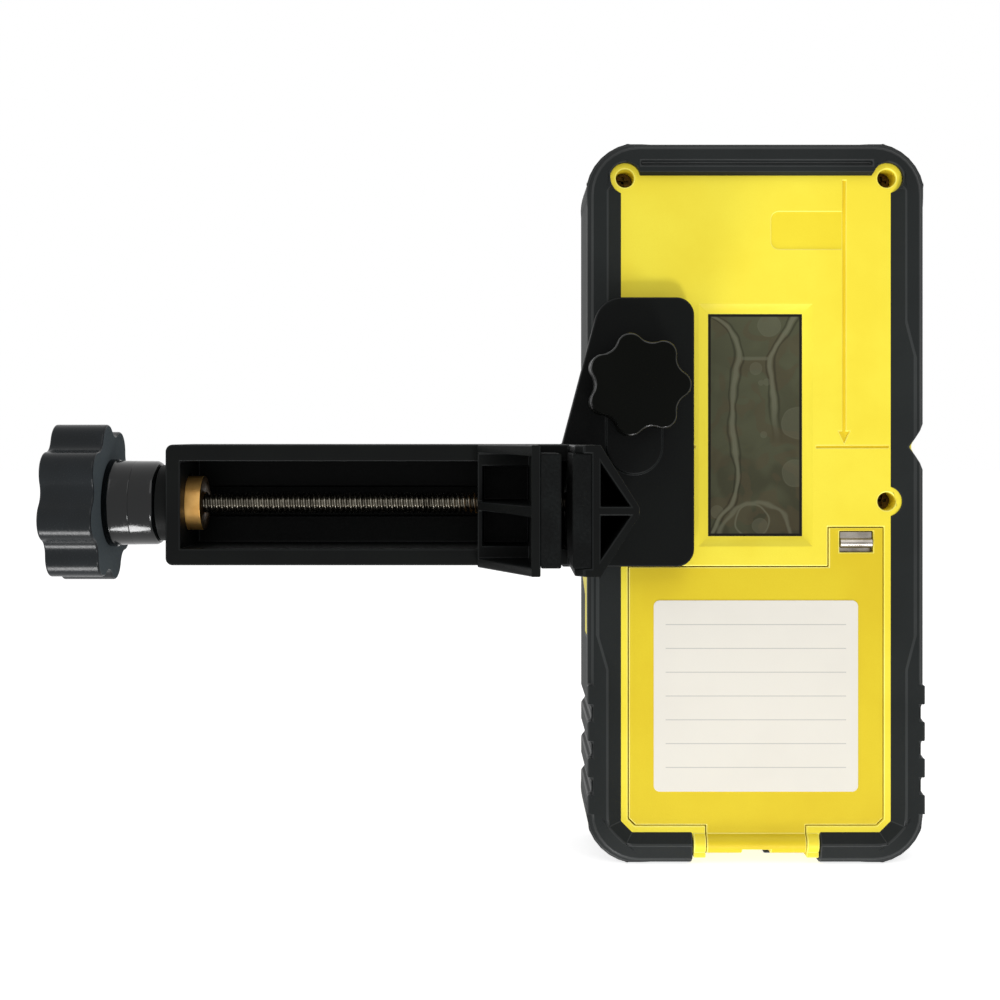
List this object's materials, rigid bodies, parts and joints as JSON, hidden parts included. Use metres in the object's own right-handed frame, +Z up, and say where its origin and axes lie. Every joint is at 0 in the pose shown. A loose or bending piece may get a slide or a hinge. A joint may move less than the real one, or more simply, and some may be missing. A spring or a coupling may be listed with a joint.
{
  "type": "laser receiver",
  "caption": "Hand-held laser level receiver in a yellow case with a dark bumper, held on a screw clamp for a levelling rod.",
  "frame": {"origin": "middle of the fixed jaw's gripping face", "axes": "+X from the jaws to the receiver, +Y from the receiver's back to its front, +Z up along the rod"},
  "size_m": [0.2143, 0.082, 0.1817],
  "materials": {
    "case_yellow": "satin moulded plastic with a fine grain",
    "bumper_rubber": "matt elastomer",
    "seal_rubber": "soft rubber",
    "fastener_steel": "zinc plated",
    "display_window": "clear window with a protective film",
    "display_glass": "grey-green display glass",
    "sensor_red": "dark red filter window",
    "circuit_board": "solder mask",
    "buzzer_black": "moulded plastic",
    "cell_wrap": "plain sleeve",
    "nickel_strip": "bright nickel plate",
    "brass": "turned brass",
    "label_white": "bare white film",
    "button_rubber": "matt silicone",
    "clamp_black": "satin filled nylon",
    "pad_rubber": "fine ribbed rubber",
    "knob_gloss": "glossy moulded plastic",
    "knob_satin": "satin moulded plastic",
    "screw_steel": "rolled thread"
  },
  "bodies": {
    "receiver": {"rear_case": "case_yellow", "front_case": "case_yellow", "bumper": "bumper_rubber", "case_seal": "seal_rubber", "case_screws": "fastener_steel", "rear_lens": "display_window", "rear_display": "display_glass", "front_lens": "display_window", "front_display": "display_glass", "sensor_window": "sensor_red", "sensor_board": "circuit_board", "main_board": "circuit_board", "keypad_mat": "seal_rubber", "buzzer": "buzzer_black", "battery_cells": "cell_wrap", "battery_contacts": "nickel_strip", "mount_insert": "brass", "hinge_pin": "fastener_steel", "clamp_bracket": "clamp_black", "fixed_jaw_pad": "pad_rubber", "thrust_washer": "clamp_black"},
    "battery_door": {"battery_door": "case_yellow", "door_seal": "seal_rubber", "info_label": "label_white"},
    "door_latch": {"door_latch": "nickel_strip"},
    "power_button": {"power_button": "button_rubber"},
    "light_button": {"light_button": "button_rubber"},
    "sound_button": {"sound_button": "button_rubber"},
    "range_button": {"range_button": "button_rubber"},
    "clamp_screw": {"clamp_knob": "knob_gloss", "lead_screw": "screw_steel", "thrust_collar": "brass"},
    "sliding_jaw": {"sliding_jaw": "clamp_black", "sliding_jaw_pad": "pad_rubber", "jaw_nut": "brass", "jaw_keeper": "fastener_steel", "keeper_screws": "fastener_steel"},
    "knob_washer": {"knob_washer": "fastener_steel"},
    "mounting_knob": {"mounting_knob": "knob_satin", "mounting_stud": "fastener_steel"}
  },
  "joints": [
    {"name": "clamp_knob_turn", "type": "hinge", "parent": "receiver", "child": "clamp_screw", "pos_m": [0, 0.026, 0], "axis": [1, 0, 0], "range_deg": [-18430, 575]},
    {"name": "jaw_slide", "type": "slide", "parent": "receiver", "child": "sliding_jaw", "axis": [1, 0, 0], "range_m": [-0.064, 0.002]},
    {"name": "knob_lift", "type": "slide", "parent": "receiver", "child": "knob_washer", "axis": [0, 1, 0], "range_m": [-0.006, 0]},
    {"name": "mounting_knob_turn", "type": "hinge", "parent": "knob_washer", "child": "mounting_knob", "pos_m": [0.01745, 0.026, 0.0286], "axis": [0, 1, 0], "range_deg": [-2150, 0]},
    {"name": "battery_door_hinge", "type": "hinge", "parent": "receiver", "child": "battery_door", "pos_m": [0.0487, 0.0389, -0.0864], "axis": [1, 0, 0], "range_deg": [0, 110]},
    {"name": "door_latch_slide", "type": "slide", "parent": "battery_door", "child": "door_latch", "axis": [0, 0, -1], "range_m": [0, 0.0009], "stiffness_N_per_m": 1500},
    {"name": "power_button_press", "type": "slide", "parent": "receiver", "child": "power_button", "axis": [0, -1, 0], "range_m": [0, 0.0007], "stiffness_N_per_m": 1500},
    {"name": "light_button_press", "type": "slide", "parent": "receiver", "child": "light_button", "axis": [0, -1, 0], "range_m": [0, 0.0007], "stiffness_N_per_m": 1500},
    {"name": "sound_button_press", "type": "slide", "parent": "receiver", "child": "sound_button", "axis": [0, -1, 0], "range_m": [0, 0.0007], "stiffness_N_per_m": 1500},
    {"name": "range_button_press", "type": "slide", "parent": "receiver", "child": "range_button", "axis": [0, -1, 0], "range_m": [0, 0.0007], "stiffness_N_per_m": 1500}
  ],
  "couplings": [
    {"joint": "jaw_slide", "follows": "clamp_knob_turn", "m_per_rad": 0.00019894},
    {"joint": "knob_lift", "follows": "mounting_knob_turn", "m_per_rad": 0.00015915}
  ]
}
